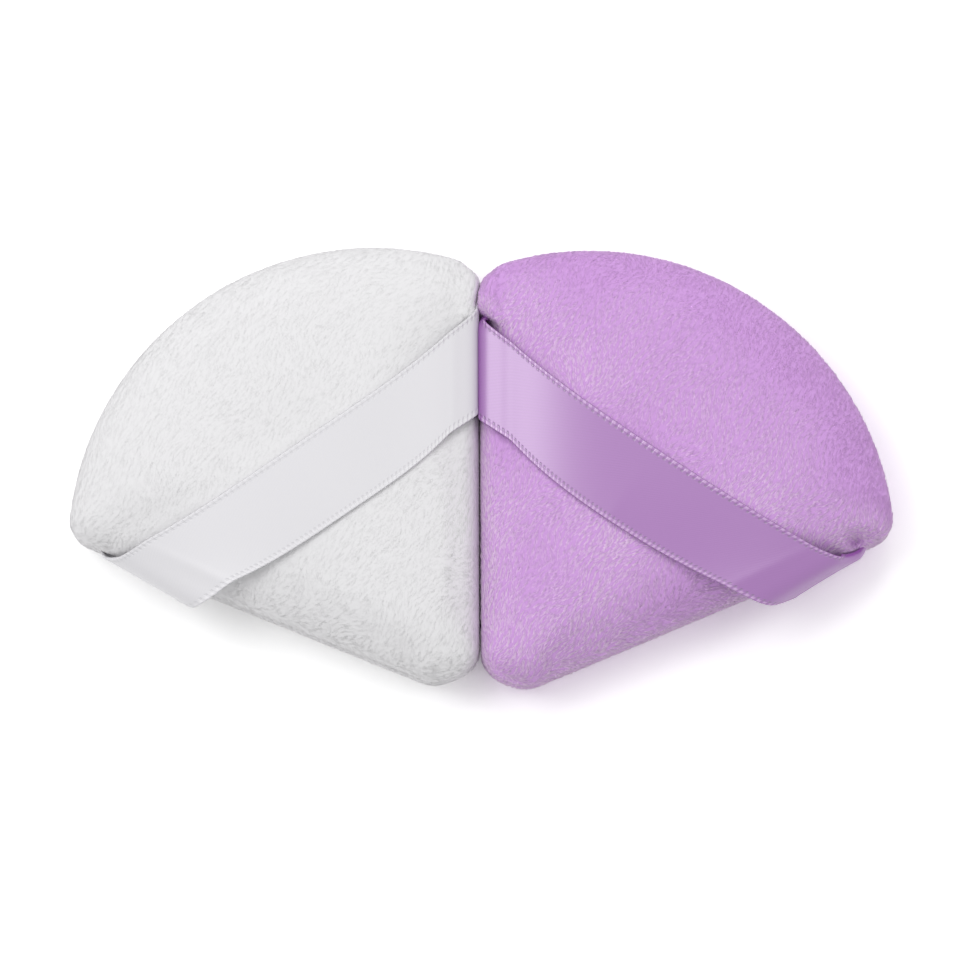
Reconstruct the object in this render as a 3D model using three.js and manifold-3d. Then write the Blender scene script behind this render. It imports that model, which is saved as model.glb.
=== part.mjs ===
// A pair of fan-shaped velour powder puffs lying side by side, each with a satin ribbon strap over its top.
// Millimetres, +Z up. A puff is modelled in its own frame: its two straight sides would meet at the origin,
// its centre line runs along +Y, and it rests on Z = 0.
import * as THREE from "three";
import { mergeGeometries, mergeVertices } from "three/addons/utils/BufferGeometryUtils.js";
import Module from "manifold-3d";

const wasm = await Module();
wasm.setup();
const { degToRad, lerp } = THREE.MathUtils;

// Plan of a puff
const PUFF_LENGTH = 70; // from the rounded apex to the middle of the arc
const SIDE_HALF_ANGLE = degToRad(33);
const APEX_RADIUS = 5.8;
const CORNER_RADIUS = 4;
const ARC_RADIUS = 45.5;

// Height of a puff
const SEAM_HEIGHT = 7; // the seam's plane above the surface that the puff lies on
const RIM_WIDTH = 6.5;
const RIM_RISE = 5.4;
const RIM_SWEEP = degToRad(65); // where the rim's round runs over into the crown
const CROWN_RISE = 2.8;
const CROWN_FULLNESS = 3; // power of the crown's fall towards the rim: the filling keeps it broad and full

// Cloth and seam
const CLOTH_THICKNESS = 1.2;
const SEAM_ALLOWANCE = 4; // width of the turned-in edges that are sewn together
const SEAM_DEPTH = 1; // the seam line lies this far inside the widest outline
const THREAD_DIAMETER = 0.4;
const STITCH_LENGTH = 4.5;
const CLEARANCE = 0.3; // between neighbouring pieces

// Ribbon strap
const RIBBON_WIDTH = 13;
const RIBBON_THICKNESS = 0.4;
const RIBBON_LIFT = 0.45; // between the cloth and the ribbon that lies on it
const RIBBON_TUCK = 3.2; // length of each end that is caught in the seam
const RIBBON_STATION = 40.8; // its middle line at the crown's edge, from the point where the sides would meet

// The two puffs: side is where it lies in the pair, turn is its centre line's swing away from +Y.
// standOff is the ribbon's slack at the lower and upper edge of its outer end, bow and slant are how far it
// lies off square.
const PUFF_SPACING = 1.6;
const PUFFS = [
  {
    name: "lavender",
    side: 1,
    turn: degToRad(33.6),
    setBack: 0,
    standOff: [2.25, 0.45],
    bow: 1.4,
    slant: 0,
    velourColour: "#c9a3de",
    ribbonColour: "#b488c8",
  },
  {
    name: "white",
    side: -1,
    turn: degToRad(33.4),
    setBack: 0.6,
    standOff: [1.7, 0.75],
    bow: 0.5,
    slant: -0.4,
    velourColour: "#eeedee",
    ribbonColour: "#e4e2ea",
  },
];
const FOAM_COLOUR = "#f3eee2";

// Facets: steps of each curve
const APEX_STEPS = 3; // on each side of the centre line
const SIDE_STEPS = 5;
const CORNER_STEPS = 4;
const ARC_STEPS = 12;
const RIM_STEPS = 3;
const LINING_STEPS = 2; // the rim's round on the inside of the cloth and on the foam
const CROWN_STEPS = 5;
const RIBBON_STEPS = 2;

// Sizes that follow from the ones above
const SIDE_SINE = Math.sin(SIDE_HALF_ANGLE);
const SIDE_COSINE = Math.cos(SIDE_HALF_ANGLE);
const APEX_CENTRE = new THREE.Vector2(0, APEX_RADIUS / SIDE_SINE);
const ARC_CENTRE = new THREE.Vector2(0, APEX_CENTRE.y - APEX_RADIUS + PUFF_LENGTH - ARC_RADIUS);
const ARC_MIDDLE = ARC_CENTRE.y + ARC_RADIUS;
const CENTRE = new THREE.Vector2(0, ARC_MIDDLE / (1 + SIDE_SINE)); // as far from the sides as from the arc
const SIDE_REACH = CENTRE.y * SIDE_SINE;
const SEAM_FACE = CLEARANCE / 2; // each turned-in edge starts this far off the seam's plane
const SEAM_BACK = SEAM_FACE + CLOTH_THICKNESS;
const STITCH_HEIGHT = SEAM_BACK + CLEARANCE + THREAD_DIAMETER / 2;
const STITCH_INSET = SEAM_DEPTH + SEAM_ALLOWANCE / 2;
const ROLL_HEIGHT = STITCH_HEIGHT + THREAD_DIAMETER / 2 + CLEARANCE; // the widest outline is at this height
const TOP = { sign: 1, rise: RIM_RISE, sweep: RIM_SWEEP, crown: CROWN_RISE, crownSteps: CROWN_STEPS };
const BOTTOM = {
  sign: -1,
  rise: SEAM_HEIGHT - ROLL_HEIGHT,
  sweep: Math.PI / 2,
  crown: 0,
  crownSteps: 1,
};

// The outline's curves, counter-clockwise from the apex: round apex, straight sides, round corners, arc
function outlineCurves() {
  const along = new THREE.Vector2(SIDE_SINE, SIDE_COSINE);
  const inward = new THREE.Vector2(-SIDE_COSINE, SIDE_SINE);
  const fromArc = inward.clone().multiplyScalar(CORNER_RADIUS).sub(ARC_CENTRE);
  const reach = ARC_RADIUS - CORNER_RADIUS;
  const half = along.dot(fromArc);
  const run = -half + Math.sqrt(half * half - fromArc.lengthSq() + reach * reach);
  const corner = inward.clone().multiplyScalar(CORNER_RADIUS).addScaledVector(along, run);
  const turn = corner.clone().sub(ARC_CENTRE).angle();
  const arc = (x, y, radius, from, to) => new THREE.EllipseCurve(x, y, radius, radius, from, to);
  const rightApex = arc(0, APEX_CENTRE.y, APEX_RADIUS, -Math.PI / 2, -SIDE_HALF_ANGLE);
  const rightCorner = arc(corner.x, corner.y, CORNER_RADIUS, -SIDE_HALF_ANGLE, turn);
  const broadArc = arc(0, ARC_CENTRE.y, ARC_RADIUS, turn, Math.PI - turn);
  const leftCorner = arc(-corner.x, corner.y, CORNER_RADIUS, Math.PI - turn, Math.PI + SIDE_HALF_ANGLE);
  const leftApex = arc(0, APEX_CENTRE.y, APEX_RADIUS, Math.PI + SIDE_HALF_ANGLE, Math.PI * 1.5);
  return [
    [rightApex, APEX_STEPS],
    [new THREE.LineCurve(rightApex.getPoint(1), rightCorner.getPoint(0)), SIDE_STEPS],
    [rightCorner, CORNER_STEPS],
    [broadArc, ARC_STEPS],
    [leftCorner, CORNER_STEPS],
    [new THREE.LineCurve(leftCorner.getPoint(1), leftApex.getPoint(0)), SIDE_STEPS],
    [leftApex, APEX_STEPS],
  ];
}

// The outline's points, each with its distance from the centre to the outline's tangent there
function outlinePoints() {
  const points = [];
  for (const [curve, steps] of outlineCurves()) {
    for (let step = 0; step < steps; step += 1) {
      const point = curve.getPoint(step / steps);
      const tangent = curve.getTangent(step / steps);
      const outward = new THREE.Vector2(tangent.y, -tangent.x);
      const spoke = point.clone().sub(CENTRE);
      points.push({ spoke, reach: spoke.dot(outward) });
    }
  }
  return points;
}
const OUTLINE = outlinePoints();

// One closed ring inside the outline: inset is in millimetres, and share then shrinks the ring to the centre,
// where it grows round
function ring({ inset, height, share = 1 }) {
  return OUTLINE.map(({ spoke, reach }) => {
    const edge = spoke.clone().multiplyScalar(1 - inset / reach);
    const round = spoke.clone().setLength(SIDE_REACH - inset);
    const place = edge.lerp(round, 1 - share).multiplyScalar(share).add(CENTRE);
    return new THREE.Vector3(place.x, place.y, SEAM_HEIGHT + height);
  });
}

// The rim's round on one face, at a depth below the outer side of the cloth
function rim(face, depth, angle) {
  return {
    inset: RIM_WIDTH - (RIM_WIDTH - depth) * Math.cos(angle),
    height: face.sign * (ROLL_HEIGHT + (face.rise - depth) * Math.sin(angle)),
  };
}

// A face's profile at a depth below the outer side of the cloth, from its middle to its widest outline
function faceProfile(face, depth, rimSteps) {
  const edge = rim(face, depth, face.sweep);
  const profile = [];
  for (let step = 0; step < face.crownSteps; step += 1) {
    const share = step / face.crownSteps;
    const height = edge.height + face.sign * face.crown * (1 - share ** CROWN_FULLNESS);
    profile.push({ inset: edge.inset, height, share });
  }
  for (let step = rimSteps; step >= 0; step -= 1) {
    profile.push(rim(face, depth, (face.sweep * step) / rimSteps));
  }
  return profile;
}

// A closed body swept round the outline: its profile starts and ends in the middle
function sweptBody(profile) {
  const middle = profile.slice(1, -1).map(ring);
  const poles = [profile[0], profile[profile.length - 1]];
  const positions = [];
  for (const points of middle) {
    points.forEach((point) => positions.push(...point.toArray()));
  }
  for (const pole of poles) {
    positions.push(CENTRE.x, CENTRE.y, SEAM_HEIGHT + pole.height);
  }
  const count = OUTLINE.length;
  const first = middle.length * count;
  const index = [];
  for (let step = 0; step < count; step += 1) {
    const next = (step + 1) % count;
    index.push(first, step, next);
    for (let row = 0; row < middle.length - 1; row += 1) {
      const here = row * count;
      const below = here + count;
      index.push(here + step, below + step, below + next);
      index.push(here + step, below + next, here + next);
    }
    const last = first - count;
    index.push(last + step, first + 1, last + next);
  }
  return meshGeometry(positions, index);
}

function meshGeometry(positions, index) {
  const geometry = new THREE.BufferGeometry();
  geometry.setAttribute("position", new THREE.Float32BufferAttribute(positions, 3));
  geometry.setIndex(index);
  return geometry;
}

function solidOf(geometry) {
  const bare = geometry.clone();
  bare.deleteAttribute("normal");
  bare.deleteAttribute("uv");
  const merged = mergeVertices(bare);
  const vertProperties = merged.attributes.position.array;
  const triVerts = Uint32Array.from(merged.index.array);
  return new wasm.Manifold(new wasm.Mesh({ numProp: 3, vertProperties, triVerts }));
}

function geometryOf(solid) {
  const mesh = solid.getMesh();
  return meshGeometry(mesh.vertProperties, Array.from(mesh.triVerts));
}

// Velour panel: crowned face, round rim, the roll down to the seam line and the turned-in seam edge
function panelBody(face) {
  const roll = { inset: SEAM_DEPTH * (1 - Math.SQRT1_2), height: lerp(ROLL_HEIGHT, SEAM_FACE, Math.SQRT1_2) };
  const seamEdge = [
    roll,
    { inset: SEAM_DEPTH, height: SEAM_FACE },
    { inset: SEAM_DEPTH + SEAM_ALLOWANCE, height: SEAM_FACE },
    { inset: SEAM_DEPTH + SEAM_ALLOWANCE, height: SEAM_BACK },
    { inset: CLOTH_THICKNESS, height: SEAM_BACK },
  ];
  const profile = [
    ...faceProfile(face, 0, RIM_STEPS),
    ...seamEdge.map(({ inset, height }) => ({ inset, height: face.sign * height })),
    ...faceProfile(face, CLOTH_THICKNESS, LINING_STEPS).reverse(),
  ];
  return sweptBody(face.sign > 0 ? profile : profile.reverse());
}

// Foam core: it fills the cloth, with a groove round its edge where the sewn seam presses in
function foamBody() {
  const depth = CLOTH_THICKNESS + CLEARANCE;
  const groove = SEAM_DEPTH + SEAM_ALLOWANCE + CLEARANCE;
  return sweptBody([
    ...faceProfile(TOP, depth, LINING_STEPS),
    { inset: groove, height: ROLL_HEIGHT },
    { inset: groove, height: -ROLL_HEIGHT },
    ...faceProfile(BOTTOM, depth, LINING_STEPS).reverse(),
  ]);
}

// Where the stitches go through the seam, evenly spaced round it, each with its direction along the seam
function stitchPlaces() {
  const seam = new THREE.CatmullRomCurve3(ring({ inset: STITCH_INSET, height: 0 }), true);
  const count = 2 * Math.round(seam.getLength() / (2 * STITCH_LENGTH));
  return Array.from({ length: count }, (_, step) => ({
    place: seam.getPointAt(step / count),
    along: seam.getTangentAt(step / count),
    rising: step % 2 === 0 ? 1 : -1,
  }));
}
const STITCHES = stitchPlaces();

// Seam thread: one closed running stitch that goes up and down through both turned-in edges
function threadBody() {
  const half = THREAD_DIAMETER / 2;
  const positions = [];
  const index = [];
  for (const { place, along, rising } of STITCHES) {
    const outward = new THREE.Vector3(along.y, -along.x, 0);
    for (const level of [-rising, rising]) {
      for (const [left, out] of [[1, 1], [-1, 1], [-1, -1], [1, -1]]) {
        const corner = place.clone();
        corner.addScaledVector(along, -left * rising * half);
        corner.addScaledVector(outward, out * half);
        corner.z += level * STITCH_HEIGHT + left * half;
        positions.push(...corner.toArray());
      }
    }
  }
  const stations = STITCHES.length * 2;
  for (let station = 0; station < stations; station += 1) {
    const here = station * 4;
    const next = ((station + 1) % stations) * 4;
    for (let corner = 0; corner < 4; corner += 1) {
      const after = (corner + 1) % 4;
      index.push(here + corner, here + after, next + after);
      index.push(here + corner, next + after, next + corner);
    }
  }
  return meshGeometry(positions, index);
}

// The holes that the needle leaves, as square posts round the thread
function needleHoles() {
  const width = THREAD_DIAMETER + 2 * CLEARANCE;
  const posts = STITCHES.map(({ place, along }) => {
    const post = new THREE.BoxGeometry(width, width, 2 * STITCH_HEIGHT);
    post.rotateZ(Math.atan2(along.y, along.x));
    return post.translate(place.x, place.y, place.z);
  });
  return solidOf(mergeGeometries(posts));
}

// The ribbon's stations from a sewn end to the middle: tuck, turn up at the seam, round of the rim, crown.
// slack is how far the ribbon stands off the cloth, part runs from 0 at the rim to 1 in the middle. The side
// slants under the ribbon, so on its way down the straight ribbon drifts along it towards the arc.
function ribbonStations(slack, tuck) {
  const stations = [
    { inset: SEAM_DEPTH + tuck, height: 0, part: 0 },
    { inset: SEAM_DEPTH, height: 0, part: 0 },
  ];
  for (let step = 1; step < RIM_STEPS; step += 1) {
    const angle = (Math.PI / 2) * (1 - step / RIM_STEPS);
    const inset = SEAM_DEPTH - (SEAM_DEPTH + slack) * Math.cos(angle);
    stations.push({ inset, height: ROLL_HEIGHT * (1 - Math.sin(angle)), part: 0 });
  }
  for (let step = 0; step <= RIM_STEPS; step += 1) {
    stations.push({ ...rim(TOP, -slack, (RIM_SWEEP * step) / RIM_STEPS), part: 0 });
  }
  let drift = 0;
  for (let row = stations.length - 1; row > 0; row -= 1) {
    stations[row].drift = drift;
    const inward = stations[row - 1].inset - stations[row].inset;
    const way = Math.hypot(inward, stations[row - 1].height - stations[row].height);
    drift += row > 1 ? SIDE_SINE * (way + inward) : 0;
  }
  stations[0].drift = drift;
  for (let step = 1; step <= CROWN_STEPS; step += 1) {
    stations.push({ part: step / CROWN_STEPS, drift: 0 });
  }
  return stations;
}

// The ribbon's middle surface: rows of points across its width, from its left end to its right end
function ribbonRows(puff, spare) {
  const rest = RIBBON_LIFT + RIBBON_THICKNESS / 2;
  const width = RIBBON_WIDTH + 2 * spare;
  const edge = rim(TOP, 0, RIM_SWEEP);
  const crownRadius = 1 - edge.inset / SIDE_REACH;
  const point = (end, across, row) => {
    const loose = end === puff.side ? lerp(...puff.standOff, across) : 0;
    const stations = ribbonStations(rest + loose, RIBBON_TUCK + spare);
    const { part, drift, ...station } = stations[row];
    const off = (1 - part) * (1 - part);
    const level = RIBBON_STATION + (across - 0.5) * width - puff.bow * (1 - off);
    const y = level + puff.slant * end * puff.side * (1 - part) + drift;
    let { inset, height } = station;
    if (part > 0) {
      const start = rim(TOP, -rest - loose, RIM_SWEEP);
      inset = lerp(start.inset, y * SIDE_SINE, part);
      const share = Math.max(0, 1 - inset / SIDE_REACH) / crownRadius;
      height = edge.height + rest + loose * off + CROWN_RISE * (1 - share ** CROWN_FULLNESS);
    }
    const x = end * (y * Math.tan(SIDE_HALF_ANGLE) - inset / SIDE_COSINE);
    return new THREE.Vector3(x, y, SEAM_HEIGHT + height);
  };
  const half = ribbonStations(rest, RIBBON_TUCK).length;
  const row = (end, station) =>
    Array.from({ length: RIBBON_STEPS + 1 }, (_, step) => point(end, step / RIBBON_STEPS, station));
  const left = Array.from({ length: half }, (_, station) => row(-1, station));
  const right = Array.from({ length: half - 1 }, (_, station) => row(1, station)).reverse();
  return [...left, ...right];
}

// Ribbon strap: a strip of even thickness along its middle surface, larger all round by spare
function ribbonBody(puff, spare) {
  const rows = ribbonRows(puff, spare);
  const offset = RIBBON_THICKNESS / 2 + spare;
  const across = RIBBON_STEPS + 1;
  const positions = [];
  for (const side of [1, -1]) {
    rows.forEach((points, row) => {
      const before = rows[Math.max(row - 1, 0)];
      const after = rows[Math.min(row + 1, rows.length - 1)];
      points.forEach((place, step) => {
        const along = after[step].clone().sub(before[step]);
        const over = points[Math.min(step + 1, RIBBON_STEPS)].clone().sub(points[Math.max(step - 1, 0)]);
        const normal = along.cross(over).normalize();
        positions.push(...place.clone().addScaledVector(normal, side * offset).toArray());
      });
    });
  }
  const back = rows.length * across;
  const index = [];
  const quad = (a, b, c, d) => index.push(a, b, c, a, c, d);
  for (let row = 0; row < rows.length - 1; row += 1) {
    const here = row * across;
    const next = here + across;
    for (let step = 0; step < RIBBON_STEPS; step += 1) {
      quad(here + step, next + step, next + step + 1, here + step + 1);
      quad(back + here + step, back + here + step + 1, back + next + step + 1, back + next + step);
    }
    quad(here, back + here, back + next, next);
    quad(next + RIBBON_STEPS, back + next + RIBBON_STEPS, back + here + RIBBON_STEPS, here + RIBBON_STEPS);
  }
  const last = (rows.length - 1) * across;
  for (let step = 0; step < RIBBON_STEPS; step += 1) {
    quad(step, step + 1, back + step + 1, back + step);
    quad(last + step + 1, last + step, back + last + step, back + last + step + 1);
  }
  return meshGeometry(positions, index);
}

function piece(name, geometry, material) {
  geometry.computeVertexNormals();
  const mesh = new THREE.Mesh(geometry, material);
  mesh.name = name;
  return mesh;
}

// One puff: the panels are slotted where the ribbon enters the seam and pierced where the thread goes through
function puffGroup(puff) {
  const velour = new THREE.MeshStandardMaterial({ color: puff.velourColour, roughness: 1, metalness: 0 });
  const satin = new THREE.MeshStandardMaterial({ color: puff.ribbonColour, roughness: 0.4, metalness: 0 });
  const thread = new THREE.MeshStandardMaterial({ color: puff.velourColour, roughness: 0.7, metalness: 0 });
  const foam = new THREE.MeshStandardMaterial({ color: FOAM_COLOUR, roughness: 1, metalness: 0 });
  const holes = needleHoles();
  const slot = solidOf(ribbonBody(puff, CLEARANCE));
  const panel = (face) => geometryOf(solidOf(panelBody(face)).subtract(slot).subtract(holes));
  const ribbon = geometryOf(solidOf(ribbonBody(puff, 0)).subtract(holes));
  const group = new THREE.Group();
  group.add(piece(`${puff.name}_bottom_panel`, panel(BOTTOM), velour));
  group.add(piece(`${puff.name}_foam_core`, foamBody(), foam));
  group.add(piece(`${puff.name}_top_panel`, panel(TOP), velour));
  group.add(piece(`${puff.name}_ribbon_strap`, ribbon, satin));
  group.add(piece(`${puff.name}_seam_thread`, threadBody(), thread));
  group.position.set((puff.side * PUFF_SPACING) / 2, puff.setBack, 0);
  group.rotation.z = -puff.side * puff.turn;
  return group;
}

// The pair, with its origin under the middle of its box
const pair = new THREE.Group();
PUFFS.forEach((puff) => pair.add(puffGroup(puff)));
const middle = new THREE.Box3().setFromObject(pair, true).getCenter(new THREE.Vector3());
pair.position.set(-middle.x, -middle.y, 0);

export default pair;
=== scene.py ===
"""A pair of fan-shaped velour powder puffs with satin ribbon straps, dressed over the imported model."""
import math

import bpy
import numpy as np
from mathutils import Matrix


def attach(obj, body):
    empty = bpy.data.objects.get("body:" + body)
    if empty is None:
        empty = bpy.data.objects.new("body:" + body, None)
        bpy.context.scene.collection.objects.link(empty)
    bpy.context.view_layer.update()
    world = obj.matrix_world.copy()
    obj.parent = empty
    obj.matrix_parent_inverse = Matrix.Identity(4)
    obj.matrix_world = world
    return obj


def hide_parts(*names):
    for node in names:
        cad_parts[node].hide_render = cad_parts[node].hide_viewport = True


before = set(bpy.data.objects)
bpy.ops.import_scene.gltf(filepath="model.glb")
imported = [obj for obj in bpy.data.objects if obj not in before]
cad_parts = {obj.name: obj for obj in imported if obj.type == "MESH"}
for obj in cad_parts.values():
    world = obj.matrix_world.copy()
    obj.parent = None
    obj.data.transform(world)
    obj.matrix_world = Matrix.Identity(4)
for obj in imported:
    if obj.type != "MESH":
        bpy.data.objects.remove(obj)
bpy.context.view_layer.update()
scene = bpy.context.scene


# Foam cores
# Each puff is filled by one pad of soft open-cell foam, cut to the fan shape and thicker in its middle.
# Nothing fastens it: the velour bag holds it, and the sewn seam presses a groove round its edge.

# A puff in its own frame, in millimetres: its straight sides would meet at the origin, +Y runs to its arc
HALF_ANGLE = math.radians(33)
PUFF_LENGTH = 70.0
APEX_RADIUS = 5.8
CORNER_RADIUS = 4.0
ARC_RADIUS = 45.5
SEAM_HEIGHT = 7.0
ROLL_HEIGHT = 2.35  # the outline is widest this far above and below the seam
RIM_WIDTH = 6.5
CROWN_FULLNESS = 3  # power of the crown's fall towards the rim
INNERMOST = 0.004  # the innermost ring's share of the crown
TOP_FACE = {"sign": 1, "rise": 5.4, "sweep": math.radians(65), "crown": 2.8}
BOTTOM_FACE = {"sign": -1, "rise": SEAM_HEIGHT - ROLL_HEIGHT, "sweep": math.pi / 2, "crown": 0.0}
APEX_MIDDLE = APEX_RADIUS / math.sin(HALF_ANGLE)
ARC_MIDDLE = APEX_MIDDLE - APEX_RADIUS + PUFF_LENGTH - ARC_RADIUS
CENTRE = np.array([0.0, (ARC_MIDDLE + ARC_RADIUS) / (1 + math.sin(HALF_ANGLE))])
SIDE_REACH = CENTRE[1] * math.sin(HALF_ANGLE)

# How the two puffs lie in the pair: side of the middle, swing of the centre line, step back in millimetres, and
# how far the soft fan has opened and shortened towards its outer side
PUFFS = {
    "white": {"side": -1, "turn": math.radians(33.4), "back": 0.6, "open": math.radians(1.5), "short": 0.012},
    "lavender": {"side": 1, "turn": math.radians(33.6), "back": 0.0, "open": math.radians(0.7), "short": 0.0},
}
PUFF_SPACING = 1.6
PAIR_SHIFT = (-0.052, -36.8445)  # puts the middle of the pair's box on the origin

FOAM_DEPTH = 1.5  # below the outer side of the cloth
FOAM_GROOVE = 5.3
FOAM_COLUMNS = 160
FOAM_COLOUR = (0.90, 0.86, 0.76, 1)
# painted shade in the foam's pores
FOAM_PORE_SHADE = (0.74, 0.67, 0.53, 1)


def fan_outline(count):
    """Points at even steps along the fan's edge, anticlockwise from the apex, with the outward direction at each.
    The outward direction turns by 1/radius per millimetre on the apex, corner and arc and keeps still on a side.
    A point is its curve's centre plus radius times that direction; the left half mirrors the right half."""
    along = np.array([math.sin(HALF_ANGLE), math.cos(HALF_ANGLE)])
    inward = np.array([-math.cos(HALF_ANGLE), math.sin(HALF_ANGLE)])
    from_arc = CORNER_RADIUS * inward - [0, ARC_MIDDLE]
    half = along @ from_arc
    run = -half + math.sqrt(half ** 2 - from_arc @ from_arc + (ARC_RADIUS - CORNER_RADIUS) ** 2)
    corner = CORNER_RADIUS * inward + run * along
    turn = math.atan2(corner[1] - ARC_MIDDLE, corner[0])
    start = APEX_RADIUS / math.tan(HALF_ANGLE)
    lengths = [
        APEX_RADIUS * (math.pi / 2 - HALF_ANGLE),
        run - start,
        CORNER_RADIUS * (turn + HALF_ANGLE),
        ARC_RADIUS * (math.pi / 2 - turn),
    ]
    stops = np.cumsum(lengths)
    travel = np.linspace(0, stops[-1], count // 2 + 1)
    angles = [-math.pi / 2, -HALF_ANGLE, -HALF_ANGLE, turn, math.pi / 2]
    angle = np.interp(travel, np.concatenate([[0], stops]), angles)
    outward = np.stack([np.cos(angle), np.sin(angle)], axis=1)
    curve = np.searchsorted(stops[:3], travel)
    centres = np.array([[0, APEX_MIDDLE], [0, 0], corner, [0, ARC_MIDDLE]])
    radii = np.array([APEX_RADIUS, 0, CORNER_RADIUS, ARC_RADIUS])
    points = centres[curve] + radii[curve, None] * outward
    points += np.where(curve == 1, start + travel - stops[0], 0)[:, None] * along
    mirror = np.array([-1, 1])
    points = np.concatenate([points, points[-2:0:-1] * mirror])
    outward = np.concatenate([outward, outward[-2:0:-1] * mirror])
    return points, outward


def fan_rings(count, inset, height, share=1.0):
    """Rings inside the fan's edge, one row for each inset and height in millimetres. The edge point moves towards
    the fan's centre until its tangent has moved by the inset; share then shrinks the ring towards the centre and
    turns it from the fan's shape into a circle as it goes."""
    inset, height, share = np.broadcast_arrays(*np.atleast_1d(inset, height, share))
    points, outward = fan_outline(count)
    spoke = points - CENTRE
    reach = np.sum(spoke * outward, axis=1)
    inset = inset[:, None, None]
    part = share[:, None, None]
    edge = spoke * (1 - inset / reach[:, None])
    circle = spoke / np.linalg.norm(spoke, axis=1, keepdims=True) * (SIDE_REACH - inset)
    place = CENTRE + part * (edge * part + circle * (1 - part))
    level = np.broadcast_to(SEAM_HEIGHT + height[:, None, None], place.shape[:2] + (1,))
    return np.concatenate([place, level], axis=2)


def rim_round(face, depth, angle):
    """Inset and height of the rim's elliptic round at an angle up from the widest outline, at a depth below the
    outer side of the cloth: width minus (width - depth) times cosine, and roll height plus (rise - depth) times
    sine."""
    inset = RIM_WIDTH - (RIM_WIDTH - depth) * np.cos(angle)
    return inset, face["sign"] * (ROLL_HEIGHT + (face["rise"] - depth) * np.sin(angle))


def face_rows(face, depth, crown_steps, rim_steps):
    """Inset, height and share of a face's rings from its middle to its widest outline: over the crown the height
    falls off with a power of share, over the rim it follows the rim's round."""
    share = np.linspace(INNERMOST, 1, crown_steps, endpoint=False)
    edge_inset, edge_height = rim_round(face, depth, face["sweep"])
    height = edge_height + face["sign"] * face["crown"] * (1 - share ** CROWN_FULLNESS)
    inset, low = rim_round(face, depth, np.linspace(face["sweep"], 0, rim_steps))
    return np.concatenate([
        np.stack([np.full_like(share, edge_inset), height, share], axis=1),
        np.stack([inset, low, np.ones_like(inset)], axis=1),
    ])


def lay(points, puff):
    """Points of a puff in its own frame, in millimetres, moved to their place in the pair, in metres: turned about
    Z by the puff's swing and, towards its outer side, by its opening, drawn in by its shortening, then set to its
    side of the middle and shifted with the pair."""
    outer = np.arctan2(puff["side"] * points[..., 0], points[..., 1]) / HALF_ANGLE
    outer = np.clip(0.5 + 0.5 * outer, 0, 1)
    turn = -puff["side"] * (puff["turn"] + puff["open"] * outer ** 2)
    reach = 1 - puff["short"] * outer
    x = reach * (points[..., 0] * np.cos(turn) - points[..., 1] * np.sin(turn))
    y = reach * (points[..., 0] * np.sin(turn) + points[..., 1] * np.cos(turn))
    x = x + puff["side"] * PUFF_SPACING / 2 + PAIR_SHIFT[0]
    y = y + puff["back"] + PAIR_SHIFT[1]
    return np.stack([x, y, points[..., 2]], axis=-1) / 1000


def grid_quads(rows, columns):
    """Faces between neighbouring rows of a grid of points, each row closed on itself."""
    row, column = np.meshgrid(np.arange(rows - 1), np.arange(columns), indexing="ij")
    after = (column + 1) % columns
    here, below = row * columns, (row + 1) * columns
    quads = np.stack([here + column, below + column, below + after, here + after], axis=-1)
    return quads.reshape(-1, 4)


def capped_sweep(rings):
    """Points and faces of a closed body from its rings, with a point in the middle of its first and last ring."""
    rows, columns = rings.shape[:2]
    points = np.concatenate([rings.reshape(-1, 3), rings[[0, -1]].mean(axis=1)])
    column = np.arange(columns)
    after = (column + 1) % columns
    first = np.stack([np.full(columns, rows * columns), column, after], axis=1)
    last = (rows - 1) * columns
    end = np.stack([np.full(columns, rows * columns + 1), last + after, last + column], axis=1)
    return points, [grid_quads(rows, columns), np.concatenate([first, end])]


def new_piece(name, points, faces, material):
    """A smooth mesh object at the origin from an array of points in metres and arrays of faces."""
    mesh = bpy.data.meshes.new(name)
    mesh.vertices.add(len(points))
    mesh.vertices.foreach_set("co", points.astype(np.float32).ravel())
    corners = np.concatenate([face.ravel() for face in faces])
    sizes = np.concatenate([np.full(len(face), face.shape[1]) for face in faces])
    mesh.loops.add(len(corners))
    mesh.loops.foreach_set("vertex_index", corners.astype(np.int32))
    mesh.polygons.add(len(sizes))
    mesh.polygons.foreach_set("loop_start", (np.cumsum(sizes) - sizes).astype(np.int32))
    mesh.polygons.foreach_set("use_smooth", np.ones(len(sizes), dtype=bool))
    mesh.update(calc_edges=True)
    piece = bpy.data.objects.new(name, mesh)
    scene.collection.objects.link(piece)
    mesh.materials.append(material)
    return piece


def new_material(name, **values):
    """A material with a Principled shader whose sockets have the given constant values."""
    material = bpy.data.materials.new(name)
    material.use_nodes = True
    shader = material.node_tree.nodes["Principled BSDF"]
    for socket, value in values.items():
        shader.inputs[socket.replace("_", " ")].default_value = value
    return material, material.node_tree, shader


def feed(tree, socket, value):
    """Links an input socket to a node's output, or sets it to a constant."""
    if isinstance(value, bpy.types.NodeSocket):
        tree.links.new(value, socket)
    else:
        socket.default_value = value


def add_node(tree, kind, **settings):
    """A new node in a tree. A setting that is no property of the node feeds the input of that name."""
    node = tree.nodes.new(kind)
    for key, value in settings.items():
        if hasattr(node, key):
            setattr(node, key, value)
        else:
            feed(tree, node.inputs[key.replace("_", " ")], value)
    return node


def reckon(tree, operation, *given):
    """A Math node on sockets and numbers; gives its result."""
    node = add_node(tree, "ShaderNodeMath", operation=operation)
    for socket, value in zip(node.inputs, given):
        feed(tree, socket, value)
    return node.outputs[0]


MIX_SHARE, MIX_FIRST, MIX_SECOND, MIX_RESULT = 0, 6, 7, 2  # sockets of a Mix node that mixes colours


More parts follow.
